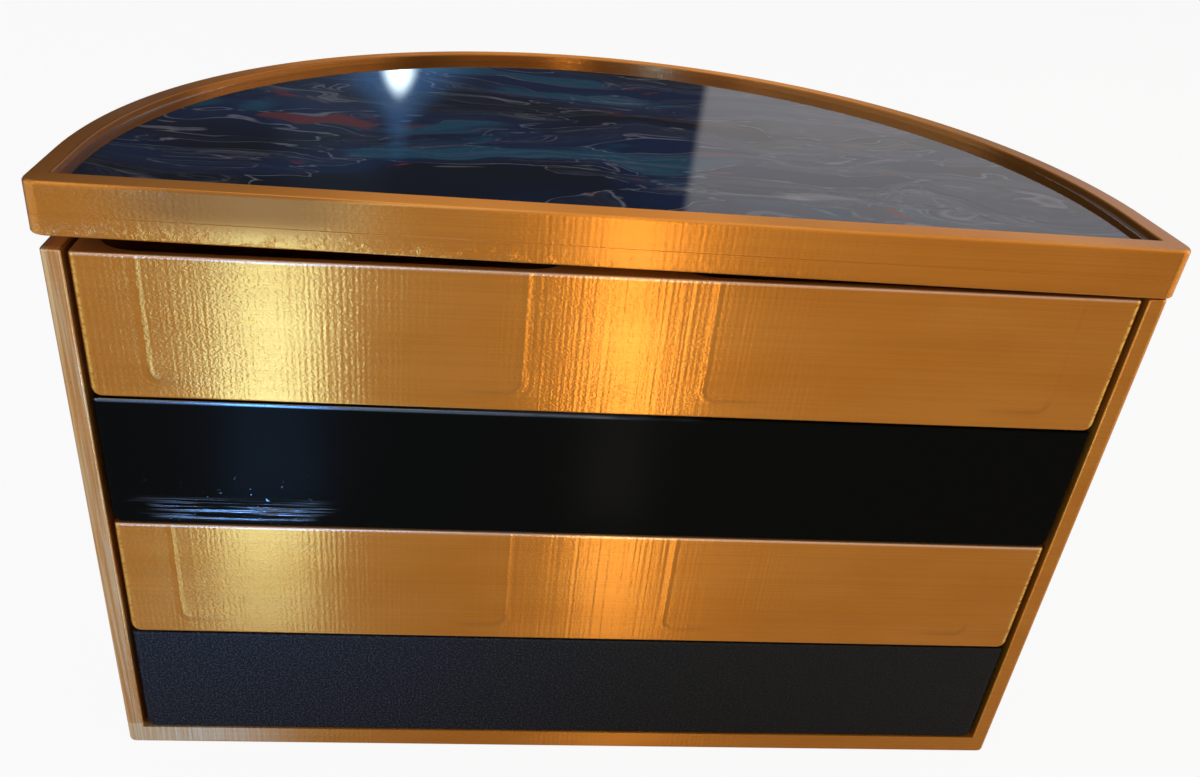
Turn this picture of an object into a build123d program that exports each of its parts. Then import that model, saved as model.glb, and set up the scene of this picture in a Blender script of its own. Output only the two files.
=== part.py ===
from build123d import *
import math
import os

# A half-moon chest: flat in front, a half circle behind, four trays that slide out to the
# front, and a loose lid filled with a poured picture under clear resin. Millimetres, +Z up,
# the front faces -Y, the origin is on the ground under the middle of the chest.

# Carcass
body_width = 200.0
straight_run = 18.0        # depth of the straight sides before the half circle begins
wall = 3.8
floor_thickness = 4.9
body_corner = 1.4          # plan rounding of the two front posts
base_chamfer = 0.8

# Trays
tray_count = 4
front_height = 28.2
front_gap = 0.45           # height between one front and the next
front_wall = 2.0
front_low_corner = 1.7     # rounding of the front's lower corners, seen from the front
front_top_corner = 0.8     # and of its upper corners
front_edge = 1.2           # plan rounding of the front's upright edges
tray_recess = 0.2          # how far the fronts sit behind the posts
tray_side_gap = 0.8
tray_wall = 3.0
tray_floor = 1.6
front_skirt = 2.2          # the front reaches this far below the tray's underside
divider = 18.0             # the solid land between the two pockets
pocket_corner = 8.0
pocket_fillet = 2.2
running_gap = 0.1          # height between a tray and what it slides on

# Runner ledges inside the carcass
ledge_width = 20.0         # wide enough to hold a tray's tail until it is mostly out
ledge_headroom = 0.5       # from a tray front's bottom edge up to the ledge's underside
ledge_setback = 5.0        # from the back of a tray's front to the ledge's end

# Lid
lid_overhang = 1.5
lid_height = 9.5
lid_floor = 3.8
rim_front = 5.0
rim_arc = 4.0
lid_corner = 3.0
rim_outer_round = 0.7
rim_inner_round = 0.4
pour_thickness = 2.5
resin_thickness = 1.5
lid_rise = 2.3             # the loose lid's left end lies this much proud; 0 seats it flat

# Places worked out from the sizes above
overshoot = 5.0
same_height = 0.01
tray_pitch = front_height + front_gap
body_radius = body_width / 2
lid_radius = body_radius + lid_overhang
front_y = -(straight_run + lid_radius) / 2
arc_y = front_y + straight_run
inner_radius = body_radius - wall
tray_radius = inner_radius - tray_side_gap
pocket_radius = tray_radius - tray_wall
tray_front_y = front_y + tray_recess
tray_back_of_front_y = tray_front_y + front_wall
body_height = floor_thickness + tray_count * tray_pitch

os.makedirs("parts", exist_ok=True)


def half_moon(radius, front, corner=0.0, mode=Mode.ADD):
    """Outline with a straight front, short straight sides and a half circle behind."""
    with BuildSketch(mode=Mode.PRIVATE) as outline:
        with BuildLine():
            Polyline((-radius, arc_y), (-radius, front), (radius, front), (radius, arc_y))
            CenterArc((0, arc_y), radius, 0, 180)
        make_face()
        if corner > 0:
            fillet(outline.vertices().group_by(Axis.Y)[0], corner)
    return add(outline.sketch, mode=mode)


def tray_bottom(level):
    """Height of a tray front's lower edge, counted from the lowest tray."""
    return floor_thickness + running_gap + level * tray_pitch


def save(part, name):
    part.label = name
    export_step(part, f"parts/{name}.step")


# Carcass: floor, curved wall, front posts and the ledges that carry the trays
with BuildPart() as carcass:
    with BuildSketch(Plane.XY):
        half_moon(body_radius, front_y, body_corner)
    extrude(amount=body_height)
    with BuildSketch(Plane.XY.offset(floor_thickness)):
        half_moon(inner_radius, front_y - overshoot)
    extrude(amount=body_height, mode=Mode.SUBTRACT)
    chamfer(carcass.faces().sort_by(Axis.Z)[0].edges(), base_chamfer)
    for level in range(tray_count):
        ledge_top = tray_bottom(level) + front_skirt - running_gap
        ledge_bottom = tray_bottom(level) + ledge_headroom if level else floor_thickness
        with BuildSketch(Plane.XY.offset(ledge_bottom)):
            half_moon(inner_radius, tray_back_of_front_y + ledge_setback)
            half_moon(inner_radius - ledge_width, front_y - overshoot, mode=Mode.SUBTRACT)
        extrude(amount=ledge_top - ledge_bottom)
save(carcass.part, "carcass")

# Trays: tray 1 is the top one
for number in range(1, tray_count + 1):
    bottom = tray_bottom(tray_count - number)
    body_bottom = bottom + front_skirt
    with BuildPart() as tray:
        # the front, rounded at its corners and along its upright edges
        with BuildSketch(Plane.XZ.offset(-tray_front_y)) as front:
            with Locations((0, bottom + front_height / 2)):
                Rectangle(2 * tray_radius, front_height)
            low, top = front.vertices().group_by(Axis.Y)
            fillet(low, front_low_corner)
            fillet(top, front_top_corner)
        extrude(amount=-front_wall)
        with BuildSketch(Plane.XY.offset(bottom)):
            half_moon(tray_radius, tray_front_y, front_edge)
        extrude(amount=front_height, mode=Mode.INTERSECT)
        # the half-round body behind it
        with BuildSketch(Plane.XY.offset(body_bottom)):
            half_moon(tray_radius, tray_back_of_front_y)
        extrude(amount=front_height - front_skirt)
        # a pocket each side of the middle land
        with BuildSketch(Plane.XY.offset(body_bottom + tray_floor)) as pockets:
            half_land = divider / 2
            pocket_sweep = math.degrees(math.acos(half_land / pocket_radius))
            with BuildLine():
                rear = CenterArc((0, arc_y), pocket_radius, 0, pocket_sweep)
                Polyline(
                    rear @ 1,
                    (half_land, tray_back_of_front_y),
                    (pocket_radius, tray_back_of_front_y),
                    rear @ 0,
                )
            make_face()
            corners = pockets.vertices().group_by(Axis.Y)
            fillet(corners[0] + corners[-1], pocket_corner)
            mirror(about=Plane.YZ)
        extrude(amount=front_height, mode=Mode.SUBTRACT)
        pocket_floors = tray.faces().filter_by(
            lambda face: abs(face.center().Z - body_bottom - tray_floor) < same_height
        )
        fillet(pocket_floors.edges(), pocket_fillet)
    save(tray.part, f"tray_{number}")

# Lid: it lies on the carcass's right end and rises a little to the left
lid_tilt = math.asin(lid_rise / (body_radius + lid_radius))
along_lid = Vector(math.cos(lid_tilt), 0, -math.sin(lid_tilt))
lid_origin = Vector(body_radius, 0, body_height + running_gap) - along_lid * body_radius
lid_seat = Plane(
    origin=lid_origin,
    x_dir=along_lid,
    z_dir=(math.sin(lid_tilt), 0, math.cos(lid_tilt)),
)
lid_up = Axis(lid_origin, lid_seat.z_dir)
inlay_radius = lid_radius - rim_arc
inlay_front_y = front_y + rim_front

with BuildPart() as lid_tray:
    with BuildSketch(lid_seat):
        half_moon(lid_radius, front_y, lid_corner)
    extrude(amount=lid_height)
    with BuildSketch(lid_seat.offset(lid_floor)):
        half_moon(inlay_radius, inlay_front_y)
    extrude(amount=lid_height, mode=Mode.SUBTRACT)
    rim = lid_tray.faces().sort_by(lid_up)[-1]
    fillet(rim.outer_wire().edges(), rim_outer_round)
    rim = lid_tray.faces().filter_by(lid_up).sort_by(lid_up)[-1]
    fillet(rim.inner_wires()[0].edges(), rim_inner_round)
save(lid_tray.part, "lid_tray")

with BuildPart() as poured_panel:
    with BuildSketch(lid_seat.offset(lid_floor)):
        half_moon(inlay_radius, inlay_front_y)
    extrude(amount=pour_thickness)
save(poured_panel.part, "poured_panel")

with BuildPart() as clear_resin:
    with BuildSketch(lid_seat.offset(lid_floor + pour_thickness)):
        half_moon(inlay_radius, inlay_front_y)
    extrude(amount=resin_thickness)
save(clear_resin.part, "clear_resin")
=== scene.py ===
# %% [markdown]
# # A half-moon chest of four trays
# The real thing is a 3-D printed box: flat in front, a half circle behind. Four trays slide out
# between two thin posts, two in silk gold, one in gloss black and one in matte black. A loose
# gold lid lies on top, a little askew, and holds a marbled pour under clear resin.
#
# The imported model gives every piece's place in metres. We load it first, and then build each
# piece again with the small roundings that catch light.

# %% Load the imported frame
import math
import bmesh
import bpy
from mathutils import Matrix, Vector


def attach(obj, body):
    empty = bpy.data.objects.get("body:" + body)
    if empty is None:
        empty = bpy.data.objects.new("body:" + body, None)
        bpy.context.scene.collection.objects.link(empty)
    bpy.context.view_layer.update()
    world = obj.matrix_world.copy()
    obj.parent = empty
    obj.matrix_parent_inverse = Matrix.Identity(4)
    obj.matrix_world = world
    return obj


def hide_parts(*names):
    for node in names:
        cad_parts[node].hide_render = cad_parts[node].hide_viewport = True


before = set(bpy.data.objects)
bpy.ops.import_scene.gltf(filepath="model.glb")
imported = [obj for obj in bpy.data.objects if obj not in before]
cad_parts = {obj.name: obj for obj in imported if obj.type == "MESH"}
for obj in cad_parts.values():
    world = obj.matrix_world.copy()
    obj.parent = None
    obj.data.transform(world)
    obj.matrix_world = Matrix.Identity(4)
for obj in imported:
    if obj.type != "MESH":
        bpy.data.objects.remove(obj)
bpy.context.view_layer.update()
scene = bpy.context.scene
print("nodes:", sorted(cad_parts))

# %% [markdown]
# ## Sizes
# These are the chest's own sizes, the same as in its construction. Writing them in millimetres
# and scaling each finished mesh once keeps the numbers easy to read. The straight front lies at
# `front_y`, and every curved wall is drawn about the same centre, at `arc_y`.

# %% The chest's sizes in millimetres
MM = 0.001
body_radius, lid_radius = 100.0, 101.5
straight_run = 18.0
front_y = -(straight_run + lid_radius) / 2
arc_y = front_y + straight_run
wall, floor_thickness, body_height = 3.8, 4.9, 119.5
tray_side_gap, tray_recess, front_gap, running_gap = 0.8, 0.2, 0.45, 0.1
inner_radius = body_radius - wall
tray_radius = inner_radius - tray_side_gap
tray_front_y = front_y + tray_recess
front_height, front_wall, skirt = 28.2, 2.0, 2.2
tray_count, tray_pitch = 4, front_height + front_gap
tray_floor, tray_wall = 1.6, 3.0
half_land, pocket_corner, pocket_fillet = 9.0, 8.0, 2.2


def tray_bottom(number):
    """Height of a tray front's lower edge. Tray 1 is the top one."""
    return floor_thickness + running_gap + (tray_count - number) * tray_pitch


bottoms = [round(tray_bottom(number), 2) for number in range(1, tray_count + 1)]
print("front of the chest at y =", front_y, "tray bottoms:", bottoms)

# %% [markdown]
# ## The camera
# The camera stands where the photograph was taken: close, above and a little left of the middle,
# turned slightly to the right. Its place and lens were found by fitting the chest's straight
# edges. We write down the three directions of the lens rather than angles, because a rotation
# matrix can't be misread.

# %% Camera at the photograph's viewpoint
yaw, pitch, roll = 0.0866, 0.5398, 0.0806
camera_x, before_front, camera_z = -28.2972, -168.6518, 193.4606
focal_px, centre_x, centre_y = 1053.144, 537.6786, 407.5072
photo_width, photo_height, sensor_width = 1200, 777, 36
flat = Vector((math.sin(yaw), math.cos(yaw), 0.0))
forward = math.cos(pitch) * flat - math.sin(pitch) * Vector((0.0, 0.0, 1.0))
level = Vector((math.cos(yaw), -math.sin(yaw), 0.0))
above = level.cross(forward)
right = math.cos(roll) * level + math.sin(roll) * above
up = math.cos(roll) * above - math.sin(roll) * level
camera = bpy.data.objects.new("camera", bpy.data.cameras.new("camera"))
scene.collection.objects.link(camera)
turn = Matrix((right, up, -forward)).transposed().to_4x4()
place = Vector((camera_x, before_front + front_y, camera_z)) * MM
camera.matrix_world = Matrix.Translation(place) @ turn
camera.data.sensor_width = sensor_width
camera.data.lens = focal_px * sensor_width / photo_width
camera.data.shift_x = (photo_width / 2 - centre_x) / photo_width
camera.data.shift_y = (centre_y - photo_height / 2) / photo_width
camera.data.clip_start = 0.01
scene.camera = camera
print("camera at", tuple(round(v, 4) for v in place), "lens", round(camera.data.lens, 2), "mm")

# %% [markdown]
# ## Drawing outlines with a pen
# Every piece of the chest is an outline seen from above, stacked at different heights. A small
# pen helper walks such an outline: straight runs are extruded vertices and curves are spins.
# Two outlines drawn by the same walk have the same number of points, so a bridge between them
# gives clean quads, which is why this was chosen over cutting shapes out of each other. Turns
# with a radius under `small_turn` get a few steps, and the great arcs one step every 1.9 degrees.

# %% A pen that walks outlines
small_turn, corner_steps, arc_step = 12.0, 6, 1.9


def draw(bm, z, start, *moves):
    """A closed outline at height z. A move is (x, y), or (x, y, degrees) for a turn about x, y."""
    tip = bm.verts.new((start[0], start[1], z))
    first, edges = tip, []
    for move in moves:
        if len(move) == 2:
            grown = bmesh.ops.extrude_vert_indiv(bm, verts=[tip])
            tip = grown["verts"][0]
            tip.co = (move[0], move[1], z)
            edges += grown["edges"]
        else:
            x, y, degrees = move
            reach = (tip.co - Vector((x, y, z))).length
            steps = corner_steps if reach < small_turn else round(abs(degrees) / arc_step)
            before = set(bm.edges)
            swept = bmesh.ops.spin(bm, geom=[tip], cent=(x, y, z), axis=(0, 0, 1),
                                   angle=math.radians(degrees), steps=steps, use_merge=False)
            tip = next(v for v in swept["geom_last"] if isinstance(v, bmesh.types.BMVert))
            edges += [e for e in bm.edges if e not in before]
    edges.append(bm.edges.new((tip, first)))
    return edges


def half_moon(bm, z, radius, front, corner):
    """A flat front with rounded corners, straight sides and a half circle behind."""
    return draw(bm, z, (radius, arc_y), (0, arc_y, 180), (-radius, front + corner),
                (corner - radius, front + corner, 90), (radius - corner, front),
                (radius - corner, front + corner, 90))


# %% [markdown]
# A skin joins a stack of outlines. A rounding is a stack too: each outline is drawn a little
# further in than the last, by the amounts of a quarter circle.

# %% Skins and roundings
def skin(bm, outlines):
    """Join stacked outlines with a strip of faces from each to the next."""
    for lower, upper in zip(outlines, outlines[1:]):
        bmesh.ops.bridge_loops(bm, edges=lower + upper)


def rounding(radius, steps=4):
    """(distance in, distance along) of a quarter round, from the face it leaves to the next."""
    angles = [math.pi / 2 * i / steps for i in range(steps + 1)]
    return [(radius * (1 - math.sin(a)), radius * (1 - math.cos(a))) for a in angles]


print("a rounding of 1 mm:", [(round(a, 2), round(b, 2)) for a, b in rounding(1.0)])

# %% [markdown]
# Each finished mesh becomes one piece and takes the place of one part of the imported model. It
# gets a Weighted Normal modifier: without it the small roundings would bend the shading of the
# large flat faces beside them, and a straight highlight would look dented.

# %% From a mesh to a piece
crease = math.radians(32)
merge_within = 0.0005


def piece(bm, name, body, node, where=None):
    """Turn a finished bmesh, in millimetres, into an object that stands for a CAD node."""
    bmesh.ops.remove_doubles(bm, verts=bm.verts, dist=merge_within)
    bmesh.ops.recalc_face_normals(bm, faces=bm.faces)
    if where is not None:
        bmesh.ops.transform(bm, matrix=where, verts=bm.verts)
    bmesh.ops.scale(bm, vec=(MM, MM, MM), verts=bm.verts)
    for face in bm.faces:
        face.smooth = True
    for edge in bm.edges:
        edge.smooth = len(edge.link_faces) == 2 and edge.calc_face_angle() < crease
    mesh = bpy.data.meshes.new(name)
    bm.to_mesh(mesh)
    bm.free()
    made = bpy.data.objects.new(name, mesh)
    scene.collection.objects.link(made)
    shading = made.modifiers.new("even_shading", "WEIGHTED_NORMAL")
    shading.keep_sharp, shading.weight = True, 100
    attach(made, body)
    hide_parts(node)
    print(name, "has", len(mesh.polygons), "faces")
    return made


# %% [markdown]
# ## The carcass
# The carcass is one print: a floor, a wall that follows the half circle and ends in two posts,
# and inner ledges that carry the trays. We draw the posts' outline and the floor's outline so
# that they share their outer points, then skin the floor a little way up and the wall all the
# way. Shared points make floor and wall one closed shell, as in a print.

# %% Carcass: floor, wall and posts
post_round, inner_round, base_round, rim_round = 1.4, 0.35, 0.8, 0.4
ledge_width, ledge_headroom, ledge_setback, into_wall = 20.0, 0.5, 5.0, 0.5


def build_carcass():
    bm = bmesh.new()
    low = [half_moon(bm, dz, body_radius - inset, front_y + inset, post_round)
           for inset, dz in rounding(base_round)]
    floor_top = half_moon(bm, floor_thickness, body_radius, front_y, post_round)
    skin(bm, low + [floor_top])
    bmesh.ops.contextual_create(bm, geom=low[0])

    def posts(z, inset):
        outer, inner = body_radius - inset, inner_radius + inset
        front = front_y + inset
        return draw(bm, z, (outer, arc_y), (0, arc_y, 180), (-outer, front + post_round),
                    (post_round - outer, front + post_round, 90), (-inner - inner_round, front),
                    (-inner - inner_round, front + inner_round, 90), (-inner, arc_y),
                    (0, arc_y, -180), (inner, front + inner_round),
                    (inner + inner_round, front + inner_round, 90), (outer - post_round, front),
                    (outer - post_round, front + post_round, 90))

    wall_foot = posts(floor_thickness, 0)
    rim = [posts(body_height - drop, inset) for inset, drop in reversed(rounding(rim_round))]
    rim = sorted(rim, key=lambda loop: loop[0].verts[0].co.z)
    skin(bm, [wall_foot] + rim)
    bmesh.ops.triangle_fill(bm, edges=rim[-1], use_beauty=True)
    # the floor's upper face, inside the wall and between the posts
    floor_plate = draw(bm, floor_thickness, (inner_radius, arc_y), (0, arc_y, 180),
                       (-inner_radius, front_y), (inner_radius, front_y))
    bmesh.ops.contextual_create(bm, geom=floor_plate)
    # each ledge is a ring of its own that reaches a little into the wall, so no gap shows
    outer, inner = inner_radius + into_wall, inner_radius - ledge_width
    front = tray_front_y + front_wall + ledge_setback
    for number in range(1, tray_count + 1):
        ledge_top = tray_bottom(number) + skirt - running_gap
        lowest = number == tray_count
        ledge_bottom = floor_thickness if lowest else tray_bottom(number) + ledge_headroom
        ends = []
        for z in (ledge_bottom, ledge_top):
            ends.append(draw(bm, z, (outer, arc_y), (0, arc_y, 180), (-outer, front),
                             (-inner, front), (-inner, arc_y), (0, arc_y, -180),
                             (inner, front), (outer, front)))
            bmesh.ops.triangle_fill(bm, edges=ends[-1], use_beauty=True)
        skin(bm, ends)
    return piece(bm, "carcass_shell", "carcass", "carcass")


carcass = build_carcass()

# %% [markdown]
# ## The trays
# Each tray is printed in one: a half-round body with two pockets, and a front that hangs a
# little lower to hide the ledge. The front's upright edges are rounded more than its level
# ones, so we stack outlines that shrink by different amounts.

# %% The front's lower part
edge, low_corner, upright, pocket_lip = 0.45, 1.7, 1.2, 0.35


def front_strip(bm, z, narrow, back_in):
    """Outline of the front alone, narrowed at its ends and set back."""
    half = tray_radius - narrow
    front, back = tray_front_y + back_in, tray_front_y + front_wall
    return draw(bm, z, (half, back), (-half, back), (-half, front + upright),
                (upright - half, front + upright, 90), (half - upright, front),
                (half - upright, front + upright, 90))


def inset_at(height, radius):
    """How far a rounding of this radius is in, at this height above its foot."""
    return radius - math.sqrt(max(0, radius ** 2 - (radius - min(height, radius)) ** 2))


def build_skirt(bm, bottom, body_bottom):
    """The front below the tray's underside, with rounded lower corners and edge."""
    heights = sorted({round(drop, 4) for _, drop in rounding(low_corner, 6)}
                     | {round(drop, 4) for _, drop in rounding(edge)})
    loops = [front_strip(bm, bottom + h, inset_at(h, low_corner), inset_at(h, edge))
             for h in heights]
    loops.append(front_strip(bm, body_bottom, 0, 0))
    skin(bm, loops)
    bmesh.ops.contextual_create(bm, geom=loops[0])


# %% [markdown]
# A pocket is walked from its lip down its walls and round into its floor. Its rear corner lies
# between the back arc and the land, so the walk first works out where that small turn has its
# centre.

# %% A pocket
def pocket(bm, z, grow):
    """Outline of the right pocket, grown or shrunk."""
    radius, land = tray_radius - tray_wall + grow, half_land - grow
    front, corner = tray_front_y + front_wall - grow, pocket_corner + grow
    hub = Vector((land + corner, math.sqrt((radius - corner) ** 2 - (land + corner) ** 2)))
    sweep = math.degrees(math.atan2(hub.y, hub.x))
    return draw(bm, z, (radius, arc_y), (0, arc_y, sweep),
                (hub.x, arc_y + hub.y, 180 - sweep), (land, front + corner),
                (land + corner, front + corner, 90), (radius - corner, front),
                (radius - corner, front + corner, 90))


def build_pocket(bm, top, pocket_floor):
    """Walls and floor of the right pocket. Returns the edges of its mouth."""
    lip = sorted(((top - drop, inset) for inset, drop in rounding(pocket_lip)), reverse=True)
    turns = [(pocket_floor + drop, inset) for inset, drop in rounding(pocket_fillet, 6)]
    loops = [pocket(bm, z, inset) for z, inset in lip]
    loops += [pocket(bm, z, -inset) for z, inset in sorted(turns, reverse=True)]
    skin(bm, loops)
    bmesh.ops.contextual_create(bm, geom=loops[-1])
    return loops[0]


# %% [markdown]
# Now a tray is put together. The left pocket is the right one mirrored, which keeps the two
# alike, and the top face is filled around both mouths at once.

# %% Trays with their fronts and pockets
def build_tray(number):
    bm = bmesh.new()
    bottom = tray_bottom(number)
    body_bottom, top = bottom + skirt, bottom + front_height
    build_skirt(bm, bottom, body_bottom)
    body = [half_moon(bm, body_bottom, tray_radius, tray_front_y, upright)]
    bmesh.ops.contextual_create(bm, geom=body[0])
    for inset, drop in reversed(rounding(edge)):
        body.append(half_moon(bm, top - drop, tray_radius - inset, tray_front_y + inset, upright))
    body[1:] = sorted(body[1:], key=lambda loop: loop[0].verts[0].co.z)
    skin(bm, body)

    right = build_pocket(bm, top, body_bottom + tray_floor)
    before_verts = set(bm.verts)
    left = build_pocket(bm, top, body_bottom + tray_floor)
    mirrored = [v for v in bm.verts if v not in before_verts]
    bmesh.ops.scale(bm, vec=(-1, 1, 1), verts=mirrored)
    bmesh.ops.triangle_fill(bm, edges=body[-1] + right + left, use_beauty=True)
    return piece(bm, f"tray_{number}_print", f"tray_{number}", f"tray_{number}")


tray_slots = {1: "gold", 2: "gloss_black", 3: "gold", 4: "matte_black"}
trays = {number: build_tray(number) for number, slot in tray_slots.items()}

# %% [markdown]
# ## The lid
# The lid is a shallow gold tray. It isn't seated: its left end stands 2.3 mm proud, as in the
# photograph. We build it level, where its outlines are simple, and tip the finished mesh about
# the carcass's right edge. A thin groove runs round it where the floor's layers end.

# %% The lid's tilt
lid_rise, lid_height, lid_floor = 2.3, 9.5, 3.8
rim_front, rim_arc, lid_corner = 5.0, 4.0, 3.0
tilt = math.asin(lid_rise / (body_radius + lid_radius))
hinge = Matrix.Translation((body_radius, 0, body_height + running_gap))
lid_place = hinge @ Matrix.Rotation(tilt, 4, "Y") @ Matrix.Translation((-body_radius, 0, 0))
print("the lid is tipped by", round(math.degrees(tilt), 2), "degrees")

# %% The lid's gold tray
groove, inlay_corner = 0.06, 0.6
foot_round, outer_round, lip_round = 0.5, 0.7, 0.4


def build_lid():
    bm = bmesh.new()

    def outer(z, inset):
        return half_moon(bm, z, lid_radius - inset, front_y + inset, lid_corner - inset / 2)

    def inner(z, grow):
        radius, front = lid_radius - rim_arc + grow, front_y + rim_front - grow
        return half_moon(bm, z, radius, front, inlay_corner)

    loops = [outer(z, inset) for inset, z in rounding(foot_round)]
    loops += [outer(lid_floor - groove, 0), outer(lid_floor, groove), outer(lid_floor + groove, 0)]
    rise = sorted((lid_height - drop, inset) for inset, drop in rounding(outer_round))
    lip = sorted(((lid_height - drop, inset) for inset, drop in rounding(lip_round)), reverse=True)
    loops += [outer(z, inset) for z, inset in rise]
    loops += [inner(z, inset) for z, inset in lip]
    loops.append(inner(lid_floor, 0))
    skin(bm, loops)
    bmesh.ops.contextual_create(bm, geom=loops[0])
    bmesh.ops.contextual_create(bm, geom=loops[-1])
    return piece(bm, "lid_print", "lid", "lid_tray", lid_place)


lid = build_lid()

# %% [markdown]
# ## Clear resin
# Poured resin climbs a little where it meets a wall. That thin curved edge is what catches a
# white line along the back of the lid, so the resin's surface is drawn as rings that rise to
# the wall instead of one flat plate.

# %% The resin and its climbing edge
pour_thickness, resin_thickness = 2.5, 1.5
climb, climb_width, climb_curve, climb_rings, hair = 0.45, 1.5, 2.2, 8, 0.02


def build_resin():
    bm = bmesh.new()
    low = lid_floor + pour_thickness
    surface = low + resin_thickness

    def ring(z, inset):
        radius, front = lid_radius - rim_arc - inset, front_y + rim_front + inset
        return half_moon(bm, z, radius, front, inlay_corner)

    loops = [ring(low + hair, hair)]
    for step in range(climb_rings):
        away = step / (climb_rings - 1)
        z = surface + climb * (1 - away) ** climb_curve
        loops.append(ring(z, hair + climb_width * away))
    skin(bm, loops)
    bmesh.ops.contextual_create(bm, geom=loops[0])
    bmesh.ops.contextual_create(bm, geom=loops[-1])
    return piece(bm, "resin_coat", "lid", "clear_resin", lid_place)


resin = build_resin()

# %% [markdown]
# ## Shader maths in plain Python
# Procedural finishes are sums and products of noise. Wiring each Math node by hand hides the
# idea, so one small class wraps a socket and lets us write `1 - mask * 0.5`. Colours are mixed
# with Mix nodes, because a Math node would turn a colour grey.

# %% Sockets that can be added and multiplied
class Wire:
    """One output socket of a node, and the wiring that it belongs to."""
    def __init__(self, wiring, socket):
        self.wiring, self.socket = wiring, socket

    def maths(self, operation, *others):
        return self.wiring.node("ShaderNodeMath", {"operation": operation}, self, *others)

    def __add__(self, other): return self.maths("ADD", other)
    def __sub__(self, other): return self.maths("SUBTRACT", other)
    def __mul__(self, other): return self.maths("MULTIPLY", other)
    def __truediv__(self, other): return self.maths("DIVIDE", other)
    def __pow__(self, other): return self.maths("POWER", other)
    def __lt__(self, other): return self.maths("LESS_THAN", other)
    def __gt__(self, other): return self.maths("GREATER_THAN", other)
    def __abs__(self): return self.maths("ABSOLUTE")
    __radd__ = __add__

    def __rsub__(self, other):
        return self.wiring.node("ShaderNodeMath", {"operation": "SUBTRACT"}, other, self)

    def at_least(self, other): return self.maths("MAXIMUM", other)
    def at_most(self, other): return self.maths("MINIMUM", other)

    def ramp(self, low, high):
        """0 below low, 1 above high, and a smooth rise between."""
        smooth = {"interpolation_type": "SMOOTHSTEP"}
        return self.wiring.node("ShaderNodeMapRange", smooth, self, low, high)


# %% [markdown]
# A second class makes the nodes. It feeds each socket with a wire or a plain value, so that a
# node and all its inputs are one call. A third one is a material with its shader, and `dress`
# puts it on a piece.

# %% A node tree that makes its own nodes
class Wiring:
    """Makes nodes in one node tree and feeds their sockets."""
    def __init__(self, tree):
        self.tree = tree

    def node(self, kind, settings=None, *inputs, output=0, **named):
        """A node of this kind. Its settings come first, then its sockets, by number or by name."""
        made = self.tree.nodes.new(kind)
        for key, value in (settings or {}).items():
            setattr(made, key, value)
        for key, value in [*enumerate(inputs), *named.items()]:
            self.feed(made.inputs[key if isinstance(key, int) else key.replace("_", " ")], value)
        return Wire(self, made.outputs[output])

    def feed(self, socket, value):
        """Link a wire to a socket, or write a plain value in it."""
        if isinstance(value, Wire):
            self.tree.links.new(value.socket, socket)
        else:
            socket.default_value = value

    def mix(self, factor, first, second):
        """Blend two colours; each is a wire or (r, g, b)."""
        made = self.tree.nodes.new("ShaderNodeMix")
        made.data_type = "RGBA"
        self.feed(made.inputs[0], factor)
        for index, colour in ((6, first), (7, second)):
            self.feed(made.inputs[index], colour if isinstance(colour, Wire) else (*colour, 1))
        return Wire(self, made.outputs[2])

    def place(self):
        """Object coordinates in millimetres, as x, y and z wires."""
        spot = self.node("ShaderNodeTexCoord", output=3)
        return [axis * (1 / MM) for axis in self.split(spot)]

    def split(self, vector):
        """The x, y and z wires of a vector wire."""
        return [self.node("ShaderNodeSeparateXYZ", None, vector, output=i) for i in range(3)]

    def noise(self, x, y, z, detail=2.0, roughness=0.5):
        """Noise from 0 to 1. One unit of x, y or z is about the size of one grain."""
        spot = self.node("ShaderNodeCombineXYZ", None, x, y, z)
        return self.node("ShaderNodeTexNoise", None, spot, Scale=1.0, Detail=detail,
                         Roughness=roughness)


# %% A finish: a material and its shader
class Finish(Wiring):
    """A material, wired in its own node tree."""
    def __init__(self, name):
        self.material = bpy.data.materials.new(name)
        self.material.use_nodes = True
        super().__init__(self.material.node_tree)
        self.shader = self.tree.nodes["Principled BSDF"]

    def set(self, **values):
        """Feed the shader's sockets by their names."""
        for key, value in values.items():
            self.feed(self.shader.inputs[key.replace("_", " ")], value)

    def bump(self, height, distance):
        """Relief that stands up by this many millimetres for each unit of height."""
        self.set(Normal=self.node("ShaderNodeBump", None, Strength=1.0, Distance=distance * MM,
                                  Height=height))

    def tint(self, amount, colour):
        """Mix a colour into the finish's tone, as far as a mask says."""
        self.tone = self.mix(amount, self.tone, colour)

    def surface(self, shader):
        """Show this shader in place of the usual one."""
        self.tree.nodes.remove(self.shader)
        self.feed(self.tree.nodes["Material Output"].inputs["Surface"], shader)


def dress(target, finish):
    """Give a piece its finish, and no other."""
    target.data.materials.clear()
    target.data.materials.append(finish.material)
    print(target.name, "wears", finish.material.name, "with", len(finish.tree.nodes), "nodes")


# %% [markdown]
# ## Silk gold
# Silk filament shines like satin. Its level layers spread every highlight up and down, so a
# lamp shows as an upright band. The Anisotropic setting does that: turned a quarter, it keeps
# highlights narrow from side to side and long upwards. The colour changes only slightly: it
# drifts in clouds, and a few layers are darker.

# %% Silk gold: the colour of the print
gold_deep, gold_light = (0.57, 0.200, 0.016), (0.62, 0.235, 0.027)
dark_layer = (0.45, 0.16, 0.020)


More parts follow.
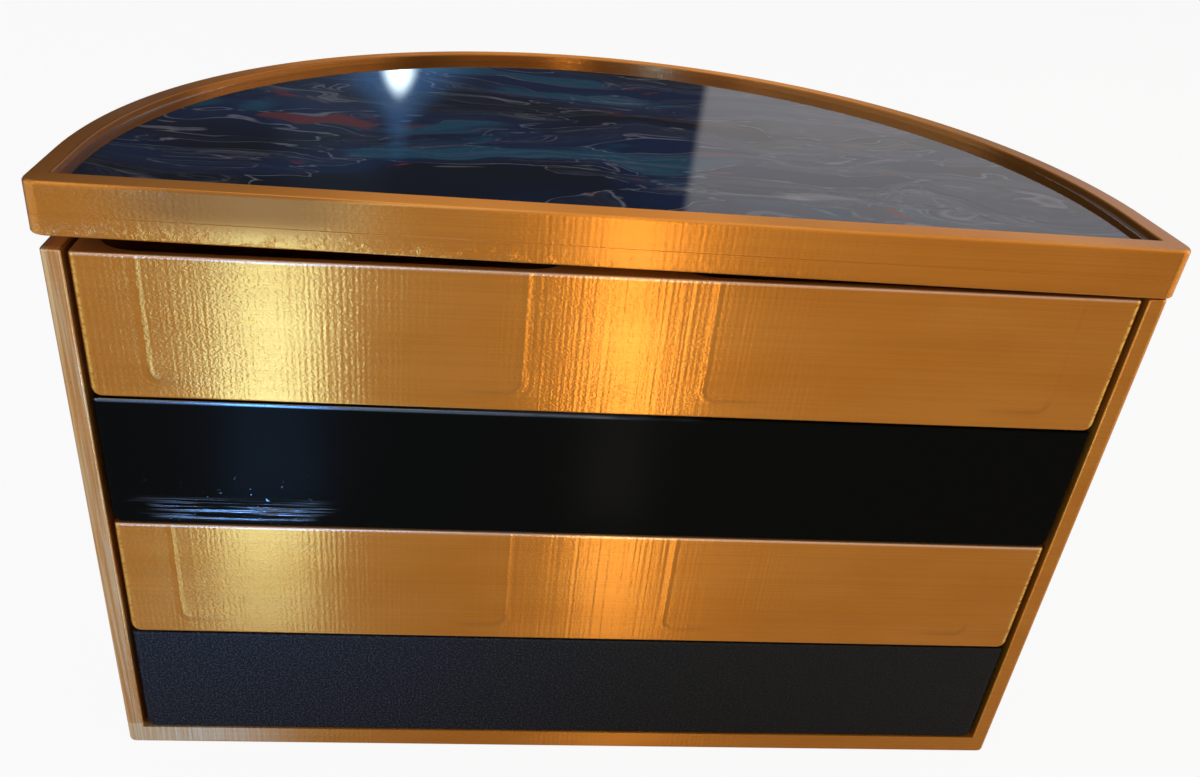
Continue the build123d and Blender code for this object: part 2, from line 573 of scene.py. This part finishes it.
class SilkGold(Finish):
    """Gold that a piece can tint and raise before `complete` closes it."""
    def __init__(self, name):
        super().__init__(name)
        self.x, self.y, self.z = x, y, z = self.place()
        self.sway = self.noise(3.0, 5.0, z * 2.6) - 0.5
        self.patchy = self.noise(x * 0.05, y * 0.05, z * 0.05, 1.0)
        self.calm = 0.35 + self.patchy.ramp(0.35, 0.65) * 0.4
        self.cloud = self.noise(x * 0.03, y * 0.03, z * 0.09)
        self.tone = self.mix(self.cloud.ramp(0.3, 0.7), gold_deep, gold_light)
        layers = self.noise(x * 0.006, y * 0.006, z * 3.0, 2.0, 0.7)
        self.tint(layers.ramp(0.4, 0.65) * 0.30, dark_layer)


# %% [markdown]
# The printed skin isn't smooth. The machine's belts leave upright ripples, every layer sways a
# little, and the left side is coarser than the right. These steps are hundredths of a
# millimetre, too small to change an outline, so they are bump.

# %% Silk gold: ripples, layers and grain
relief_unit = 0.01


def print_relief(gold, comb_height):
    """The printed skin's height, in relief units."""
    x, y, z, calm = gold.x, gold.y, gold.z, gold.calm
    across = x + gold.sway * 0.7
    ripple = gold.noise(across, y, z * 0.02, 2.0, 0.55)
    swell = gold.noise(x * 0.30, y * 0.30, z * 0.012, 1.0)
    comb = (across * 5.7 + swell * 7).maths("SINE") * gold.patchy.ramp(0.3, 0.6)
    grain = gold.noise(x * 1.5, y * 1.5, z * 2.2)
    chatter = gold.noise(x * 0.45 - z * 0.9, y * 0.4, z * 0.35)
    weave = gold.noise(x * 1.9, y * 1.9, z * 3.2, 1.0)
    coarse = 1 + (1 - (x + 25).ramp(-40, 30)) * 1.3
    ripples = comb * comb_height + ripple * calm * 2.2 + swell * 1.2
    return ripples + (grain + chatter * calm + weave * calm * 1.5) * coarse


def complete(gold, relief=0, comb_height=0.32, roughness=0.30):
    """Close a gold finish, with the relief that its piece adds to the printed skin."""
    gold.set(Base_Color=gold.tone, Metallic=0.75, Roughness=roughness, Anisotropic=1.0,
             Anisotropic_Rotation=0.25, Specular_IOR_Level=0.8)
    gold.bump(print_relief(gold, comb_height) + relief, relief_unit)
    return gold


# %% [markdown]
# On the carcass, the left post and the left end of the foot rail get a painted highlight: a mask
# chosen by place mixes a pale straw colour in, standing in for the cool lamp's reflection there.

# %% Silk gold on the carcass
gold = SilkGold("silk_gold")
# painted highlight: pale straw streaks on the left post and the rail's left end, for the cool
# lamp's reflection
painted_highlight = (1 - (gold.x + 60 + gold.sway * 20).ramp(-34, 6)) * (gold.y < front_y + 1.5)
streaks = gold.noise(gold.x * 1.7, 3.0, gold.z * 0.03, 2.0, 0.6).ramp(0.42, 0.58)
gold.tint(painted_highlight * (0.15 + streaks * 0.35 + (gold.z < 6) * 0.35), (0.80, 0.66, 0.38))
dress(carcass, complete(gold))

# %% [markdown]
# The lid's lowest layers spread into lumps, mostly at the left, as a print's first layers can on
# a warm bed. Its front is dull above them, with a painted shadow there, and dusty at the left end.
# The inside of the rim is darkened with painted shade. Heights are taken from the lid's underside,
# which rises to the left.

# %% Silk gold on the lid
underside, climb_left = 120.8, lid_rise / 200


def lid_marks(gold):
    """Painted rim shade, painted shadow on a dull patch, and dust. Returns lumps' relief and
    roughness.
    """
    x, y, z = gold.x, gold.y, gold.z
    above_underside = z + x * climb_left - underside
    lumps = gold.noise(x * 0.32, y * 0.32, z * 0.45, 4.0, 0.65).ramp(0.48, 0.75)
    lumps = lumps * (1 - above_underside.ramp(0.5, 4.0))
    lumps = lumps * (0.25 + (1 - (x + 20).ramp(-50, 40)) * 0.75)
    reach = (x ** 2 + (y - arc_y).at_least(0) ** 2) ** 0.5
    # painted shade: the inside of the rim is darkened where it would mirror the dark pour
    inside = (reach < lid_radius - rim_arc + 0.3) * (y > front_y + rim_front - 0.3)
    gold.tint(inside * 0.8, (0.20, 0.065, 0.010))
    face = y < front_y + 0.4
    # painted shadow: a dark patch on the front's left part, which is also rougher
    dull_and_painted_shadow = (1 - abs(x + 66).ramp(8, 28)) * above_underside.ramp(1.0, 6.0) * face
    gold.tint(dull_and_painted_shadow * 0.6, (0.27, 0.105, 0.018))
    dust = gold.noise(x * 2.2, y * 2.2, z * 3.0, 2.0, 0.6).ramp(0.45, 0.75)
    dust = dust * gold.cloud.ramp(0.3, 0.6) * (1 - (x + 84).ramp(-10, 16)) * face
    gold.tint(dust * 0.6, (0.80, 0.68, 0.48))
    return lumps * 9.0, 0.37 + dull_and_painted_shadow * 0.22


gold = SilkGold("silk_gold_lid")
lumps, roughness = lid_marks(gold)
dress(lid, complete(gold, lumps, 0.18, roughness))

# %% [markdown]
# A tray's front shows where its pockets are: a ridge follows each pocket's outline, with faint
# rings beside it. It is drawn from the distance to a rounded box, because that distance goes
# evenly round the corners. On the thick land between the pockets the ripples are stronger.

# %% Silk gold: ridges on a tray's front
ridge_middle, ridge_half = 50.65, 33.65
front_reach = 0.6


def pocket_ridges(gold, bottom):
    """Livelier ripples on the land, and painted shade at the ridges' feet. Returns their relief.
    """
    x, y, z = gold.x, gold.y, gold.z
    front = y < tray_front_y + front_reach
    gold.calm = gold.calm + (1 - (abs(x) - half_land).ramp(4, 16)) * 1.1
    gold.calm = gold.calm + (1 - abs(x + 72).ramp(4, 22)) * 0.5
    aside = abs(abs(x) - ridge_middle) - ridge_half + pocket_fillet
    under = (bottom + skirt + tray_floor) - z + pocket_fillet
    corner = (aside.at_least(0) ** 2 + under.at_least(0) ** 2) ** 0.5
    line = corner + aside.at_least(under).at_most(0) - pocket_fillet
    fade = (aside + 13).ramp(0, 11) * front
    wrinkle = (gold.noise(x * 0.3, z * 0.8, 4.0) - 0.5) * 0.7
    ridge = (1 - abs(line + wrinkle) / 0.95).at_least(0) * fade
    rings = gold.noise(4.0, 1.0, line * 1.1 + x * 0.06, 1.0)
    near = (1 - abs(line - 0.5) / 3.6).at_least(0) * (under + 4).ramp(0, 3) * fade
    # painted shade: the ridges' lower ends are darkened in colour, as shade beside a ridge
    gold.tint((under + 1.5).ramp(0.0, 2.5) * ridge * 0.45, (0.36, 0.13, 0.02))
    return ridge * 3.8 + rings * near * 6.0


# %% [markdown]
# The upper edge of a front gets a painted highlight, a pale line, and its upright edges get
# painted highlights in dots, most of all at the right.

# %% Silk gold on trays 1 and 3
def painted_edge_highlights(gold, bottom):
    x, y, z = gold.x, gold.y, gold.z
    front = y < tray_front_y + front_reach
    # painted highlight: a pale line along the front's top edge
    lip = (z - bottom - front_height).ramp(-0.7, -0.2) * front
    gold.tint(lip * 0.6, (0.85, 0.60, 0.42))
    # painted highlight: bright yellow dots along the upright edges
    dots = gold.noise(x * 0.8, 6.0, z * 1.6).ramp(0.36, 0.56)
    painted_highlight = (abs(x) - tray_radius).ramp(-1.5, -0.9) * front * (0.4 + (x > 0) * 0.4)
    gold.tint(painted_highlight * dots, (1.0, 0.70, 0.16))


for number in (1, 3):
    gold = SilkGold(f"silk_gold_tray_{number}")
    ridges = pocket_ridges(gold, tray_bottom(number))
    painted_edge_highlights(gold, tray_bottom(number))
    dress(trays[number], complete(gold, ridges))

# %% [markdown]
# ## The two blacks
# Tray 2 is gloss black. At its lower left, rough layers catch the light in level streaks. Their
# highlight is painted in part: the streaks, a few flecks and the top edge towards the left get a
# silver-blue metallic colour. They follow the bump only if they are part of the main layer, so
# they are made with a Metallic mask and not with a coat, which keeps its own smooth normal. Tray 4
# is matte black with a fine speckle, which has a painted sheen: bluish at the left where the cool
# lamp is, and neutral at the right.

# %% Gloss black
glassy_black, painted_glint_silver = (0.0034, 0.0032, 0.0025), (0.13, 0.16, 0.20)


def gloss_black():
    black = Finish("gloss_black")
    x, y, z = black.place()
    lines = black.noise(x * 0.05, y * 0.05, z * 3.2, 3.0, 0.6)
    wave = black.noise(x * 0.12, y * 0.12, z * 0.5, 2.0)
    lift, layers = z - tray_bottom(2), black.noise(x * 0.9, y * 0.9, z * 2.6, 1.0)
    west = 1 - abs(x + 71 + (wave - 0.5) * 20).ramp(7, 20)
    dragged = black.noise(x * 0.035, 2.0, z * 1.9, 3.0, 0.6).ramp(0.46, 0.56)
    squeezed_glint = lift.ramp(0.8, 1.6) * (1 - lift.ramp(4.4, 6.8)) * west * dragged
    top_edge = (lift - front_height).ramp(-0.8, -0.3) * (1 - (x + wave * 40).ramp(-30, 40))
    flecks = layers.ramp(0.73, 0.80) * west * (1 - lift.ramp(6, 14))
    shine = (squeezed_glint + top_edge + flecks).at_most(1)
    # painted highlight: streaks, flecks and top edge turn a silver-blue metal, for the cool lamp's
    # reflection
    tone = black.mix(shine, glassy_black, painted_glint_silver)
    black.set(Base_Color=tone, Metallic=shine, Roughness=0.19 - shine * 0.05,
              Specular_IOR_Level=0.009)
    black.bump(lines * (0.8 + squeezed_glint * 6) + wave * 1.2, 0.02)
    return black


dress(trays[2], gloss_black())


# %% Matte black
def matte_black():
    black = Finish("matte_black")
    x, y, z = black.place()
    speckle = black.noise(x * 2.3, y * 2.3, z * 2.3, 3.0, 0.75)
    lines = black.noise(x * 0.05, y * 0.05, z * 3.0, 2.0)
    # painted sheen: the speckle is bluish at the left, where the cool lamp is, and neutral at the
    # right
    glitter_and_painted_sheen = black.mix(x.ramp(-80, 40), (0.036, 0.052, 0.088), (0.020, 0.018, 0.011))
    tone = black.mix(speckle.ramp(0.44, 0.74), (0.0042, 0.0040, 0.0036), glitter_and_painted_sheen)
    black.set(Base_Color=tone, Roughness=0.48, Specular_IOR_Level=0.13)
    black.bump(speckle * 1.6 + lines * 0.6, 0.04)
    return black


dress(trays[4], matte_black())

# %% [markdown]
# ## The marbled pour
# Poured paint flows into itself: broad pools of navy and teal, thin pale veins between them and
# a few islands of red-brown. Noise whose place is pushed about by more noise gives such folds.
# The veins are where a folded noise crosses a chosen value.

# %% The pour's folds
pour = Finish("marbled_pour")
x, y, _ = pour.place()
push_x = pour.noise(x * 0.020, y * 0.030, 0.3) - 0.5
push_y = pour.noise(x * 0.013, y * 0.022, 7.7, 3.0) - 0.5
u, v = x * 0.30 + push_x * 46, y + push_y * 62
pool = pour.noise(u * 0.035, v * 0.035, 5.0, 2.0, 0.45)
fold = pour.noise(u * 0.040, v * 0.065, 2.0, 4.0)
lace = pour.noise(u * 0.11, v * 0.15, 1.0, 4.0, 0.6)
island = pour.noise(u * 0.12, v * 0.16, 9.0, 2.0, 0.4)
strand = pour.noise(u * 0.05, v * 0.42, 3.0, 3.0, 0.6)
east = (x + lace * 30).ramp(0, 75)
print("the pour's folds take", len(pour.tree.nodes), "nodes")

# %% [markdown]
# The colours go on from the deepest up: pools, a grey haze that grows towards the right, and
# long silky strands.

# %% The pour's pools and haze
deep_navy, navy, teal = (0.0012, 0.0025, 0.007), (0.002, 0.011, 0.050), (0.004, 0.060, 0.115)
pour.tone = pour.mix(pool.ramp(0.40, 0.60), deep_navy, navy)
pour.tint((pool * 0.6 + fold * 0.4).ramp(0.56, 0.60), teal)
haze = 1 - abs(fold - 0.53).ramp(0.0, 0.07)
pour.tint(haze * (0.10 + east * 0.5), (0.050, 0.056, 0.085))
pour.tint(fold.ramp(0.57, 0.74) * (0.08 + east * 0.65), (0.065, 0.072, 0.100))
silk = strand.ramp(0.50, 0.66) * fold.ramp(0.44, 0.58) * (x + lace * 60).ramp(-60, 30)
pour.tint(silk * (0.35 + east * 0.2), (0.11, 0.12, 0.16))
print("pools and haze bring it to", len(pour.tree.nodes), "nodes")

# %% [markdown]
# Last come three sets of thin pale threads, foam near the front and the red-brown islands.

# %% The pour's veins, foam and islands
for field, middle, width, mask, amount, colour in (
        (fold, 0.47, 0.009, lace.ramp(0.32, 0.5), 0.55, (0.24, 0.24, 0.28)),
        (fold, 0.56, 0.007, lace.ramp(0.4, 0.6), 0.5, (0.24, 0.23, 0.25)),
        (lace, 0.5, 0.014, fold.ramp(0.46, 0.60), 0.10 + east * 0.35, (0.22, 0.24, 0.28))):
    thread = 1 - abs(field - middle).ramp(0.0, width)
    pour.tint(thread * mask * amount, colour)
foam = lace.ramp(0.54, 0.66) * fold.ramp(0.46, 0.6) * (1 - (y + x * 0.1).ramp(-45, -10))
pour.tint(foam * (0.2 + east * 0.5), (0.36, 0.36, 0.39))
pour.tint(island.ramp(0.66, 0.71) * 0.85, (0.13, 0.020, 0.013))
pour.set(Base_Color=pour.tone, Roughness=0.5, Specular_IOR_Level=0.0)
dress(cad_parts["poured_panel"], pour)

# %% [markdown]
# ## Clear gloss resin
# A block of real glass would leave the pour unlit, because light is not followed well through
# it. The resin is so thin that only its shine matters, so it is a see-through shader mixed with
# a mirror by Fresnel: clear seen from above, bright where the eye skims it. Only the outer side
# mirrors. Seen from within, the surface would reflect everything and hide the pour.

# %% Clear resin finish
clear = Finish("clear_gloss")
outside = 1 - clear.node("ShaderNodeNewGeometry", output=6)
glance = clear.node("ShaderNodeFresnel", None, IOR=1.5) * outside
through = clear.node("ShaderNodeBsdfTransparent", None, (1, 1, 1, 1))
shine = clear.node("ShaderNodeBsdfGlossy", {"distribution": "GGX"}, (1, 1, 1, 1), Roughness=0.04)
clear.surface(clear.node("ShaderNodeMixShader", None, glance, through, shine))
dress(resin, clear)

# %% [markdown]
# ## Floor, background and light
# The background is plain white. The floor is pale and shows nearly white to the camera, with a
# weak shadow. White must not come from more light on the chest, so the floor and the world use
# Light Path's Is Camera Ray.

# %% Pale floor
floor_half, floor_glow = 6, 0.92
bm = bmesh.new()
bmesh.ops.create_grid(bm, x_segments=1, y_segments=1, size=floor_half)
floor_mesh = bpy.data.meshes.new("floor")
bm.to_mesh(floor_mesh)
bm.free()
floor = bpy.data.objects.new("floor", floor_mesh)
scene.collection.objects.link(floor)
pale = Finish("pale_floor")
seen = pale.node("ShaderNodeLightPath", output=0)
paint = pale.node("ShaderNodeBsdfDiffuse", None, (0.6, 0.6, 0.6, 1))
glow = pale.node("ShaderNodeEmission", None, (1, 1, 1, 1), 1.0)
pale.surface(pale.node("ShaderNodeMixShader", None, seen * floor_glow, paint, glow))
dress(floor, pale)

# %% [markdown]
# ## The room in the reflections
# The resin mirrors a dim room: one pale wall at the right, a small lamp behind and light from
# above. A white room there would wash the pour out. So glossy rays see that room, worked out
# from the bearing and the rise of each direction, and camera rays see plain white.

# %% Directions in the room
world = bpy.data.worlds.new("studio")
scene.world = world
world.use_nodes = True
room = Wiring(world.node_tree)
toward = room.node("ShaderNodeTexCoord", output=0)
east, north, height = room.split(toward)
degrees = math.degrees(1)
bearing = room.node("ShaderNodeMath", {"operation": "ARCTAN2"}, east, north) * degrees
rise = room.node("ShaderNodeMath", {"operation": "ARCSINE"}, height) * degrees
print("directions take", len(room.tree.nodes), "nodes")

# %% [markdown]
# Each light in the room is a mask of bearing and rise times a colour, and they add up. The lamp
# behind widens downwards like a shaded bulb, with a bright core and a wide blue glow.

# %% The room's lights
lamp_bearing, lamp_rise, haze_bearing, haze_rise = -3.5, 13.9, -7, 15
dim_room = (1 - abs(bearing).ramp(60, 90)) * (1 - rise.ramp(25, 40))
pale_wall = bearing.ramp(12.5, 13.1) * (1 - bearing.ramp(80, 120)) * (1 - rise.ramp(38, 60))
blue_haze = 1 - abs(bearing - haze_bearing).ramp(1, 4)
blue_haze = blue_haze * (1 - abs(rise - haze_rise).ramp(1, 9))
flare = (1.9 - (rise - 12.6) * 0.42).at_least(0.35)
sideways, upwards = (bearing - lamp_bearing) / flare, (rise - lamp_rise) * 0.62
off_lamp = (sideways ** 2 + upwards ** 2) ** 0.5

room_lights = {
    "dim room": (dim_room, (0.045, 0.048, 0.062)),
    "pale wall": (pale_wall * 0.56, (1.0, 0.95, 0.92)),
    "overhead": (rise.ramp(21, 60) * 0.9, (1.0, 0.98, 0.95)),
    "blue haze": (blue_haze * 0.06, (0.45, 0.7, 1.0)),
    "lamp core": ((1 - off_lamp.ramp(0.05, 0.85)) * 8, (0.75, 0.92, 1.0)),
    "lamp glow": ((1 - off_lamp.ramp(0.3, 3.2)) * 0.6, (0.15, 0.45, 1.0)),
}
reflected = (0.003, 0.005, 0.010)
for amount, colour in room_lights.values():
    glow = room.node("ShaderNodeVectorMath", {"operation": "SCALE"}, colour, Scale=amount)
    reflected = room.node("ShaderNodeVectorMath", {"operation": "ADD"}, reflected, glow)
print("the room's lights:", ", ".join(room_lights))

# %% [markdown]
# Light Path tells which ray asks. Glossy rays get the room, camera rays and rays that pass
# through the resin get white, and the rest get an even grey that fills the shadows.

# %% One background for each kind of ray
fill_grey, white = (0.25, 0.25, 0.25), (1, 1, 1)
from_camera, mirrored, through_glass = [
    room.node("ShaderNodeLightPath", output=i) for i in (0, 3, 6)]
background = room.mix(mirrored, fill_grey, reflected)
background = room.mix(from_camera.at_least(through_glass), background, white)
room.feed(world.node_tree.nodes["Background"].inputs["Color"], background)
print("the world has", len(room.tree.nodes), "nodes")

# %% [markdown]
# ## The lamps
# Two large soft cards in front give the gold its even colour. Two narrow upright strips stand
# among them, a cool one at the left and a warm one at the right: each makes one upright band on
# the gold. A lamp is given its brightness as seen, and its power follows from its size.

# %% Soft lamps in front
def lamp(name, spot, aim, size, brightness, colour):
    """A soft rectangle that looks as bright as a surface of that brightness, from any distance."""
    light = bpy.data.lights.new(name, "AREA")
    light.shape, light.size, light.size_y = "RECTANGLE", *size
    light.energy, light.color = brightness * math.pi * size[0] * size[1], colour
    made = bpy.data.objects.new(name, light)
    scene.collection.objects.link(made)
    facing = (Vector(aim) - Vector(spot)).to_track_quat("-Z", "Y").to_matrix().to_4x4()
    made.matrix_world = Matrix.Translation(spot) @ facing
    made.visible_camera = False
    print(name, "gives", round(light.energy, 2), "W")


chest, card, strip_high = (0, -0.05, 0.07), (0.95, 1.0), 0.55
peach, amber = (1.0, 0.84, 0.66), (1.0, 0.62, 0.14)
sun, sky_blue = (1.0, 0.78, 0.34), (0.075, 0.32, 1.0)
lamp("front_card_left", (-0.50, -1.25, 0.62), chest, card, 0.72, peach)
lamp("front_card_right", (0.50, -1.25, 0.62), chest, card, 0.76, amber)
lamp("warm_strip", (0.188, -1.15, 0.28), chest, (0.05, strip_high), 20.0, sun)
lamp("cool_strip", (-0.285, -1.15, 0.28), chest, (0.055, strip_high), 56.0, sky_blue)

# %% [markdown]
# The third tray mirrors the table, not the strips. So a short strip a few millimetres above the
# table continues each band there. Both lie clear of the open trays and face almost straight up,
# along the way that the mirrored view comes. Cards at the sides and above light the rounded
# edges.

# %% Strips on the table, and cards at the sides and above
cool_place, cool_aim = (-0.100, -0.24, 0.004), (-0.102, -0.25, 1.0)
warm_place, warm_aim = (0.036, -0.24, 0.004), (0.038, -0.25, 1.0)
lamp("cool_table", cool_place, cool_aim, (0.03, 0.20), 20.0, (0.19, 0.48, 1.0))
lamp("warm_table", warm_place, warm_aim, (0.02, 0.20), 6.5, (1.0, 0.92, 0.66))
lamp("left_side", (-1.15, -0.45, 0.35), chest, (1.6, 0.7), 2.2, (0.80, 0.92, 1.0))
lamp("right_side", (1.20, -0.15, 0.35), chest, (1.3, 0.7), 2.4, (1.0, 0.84, 0.50))
lamp("top_card", (0.0, 0.1, 1.4), chest, (1.2, 1.2), 1.2, (1.0, 0.98, 0.95))

# %% [markdown]
# ## Finish
# The view transform stays Standard so that colours render as written.

# %% Finish
scene.view_settings.view_transform = "Standard"
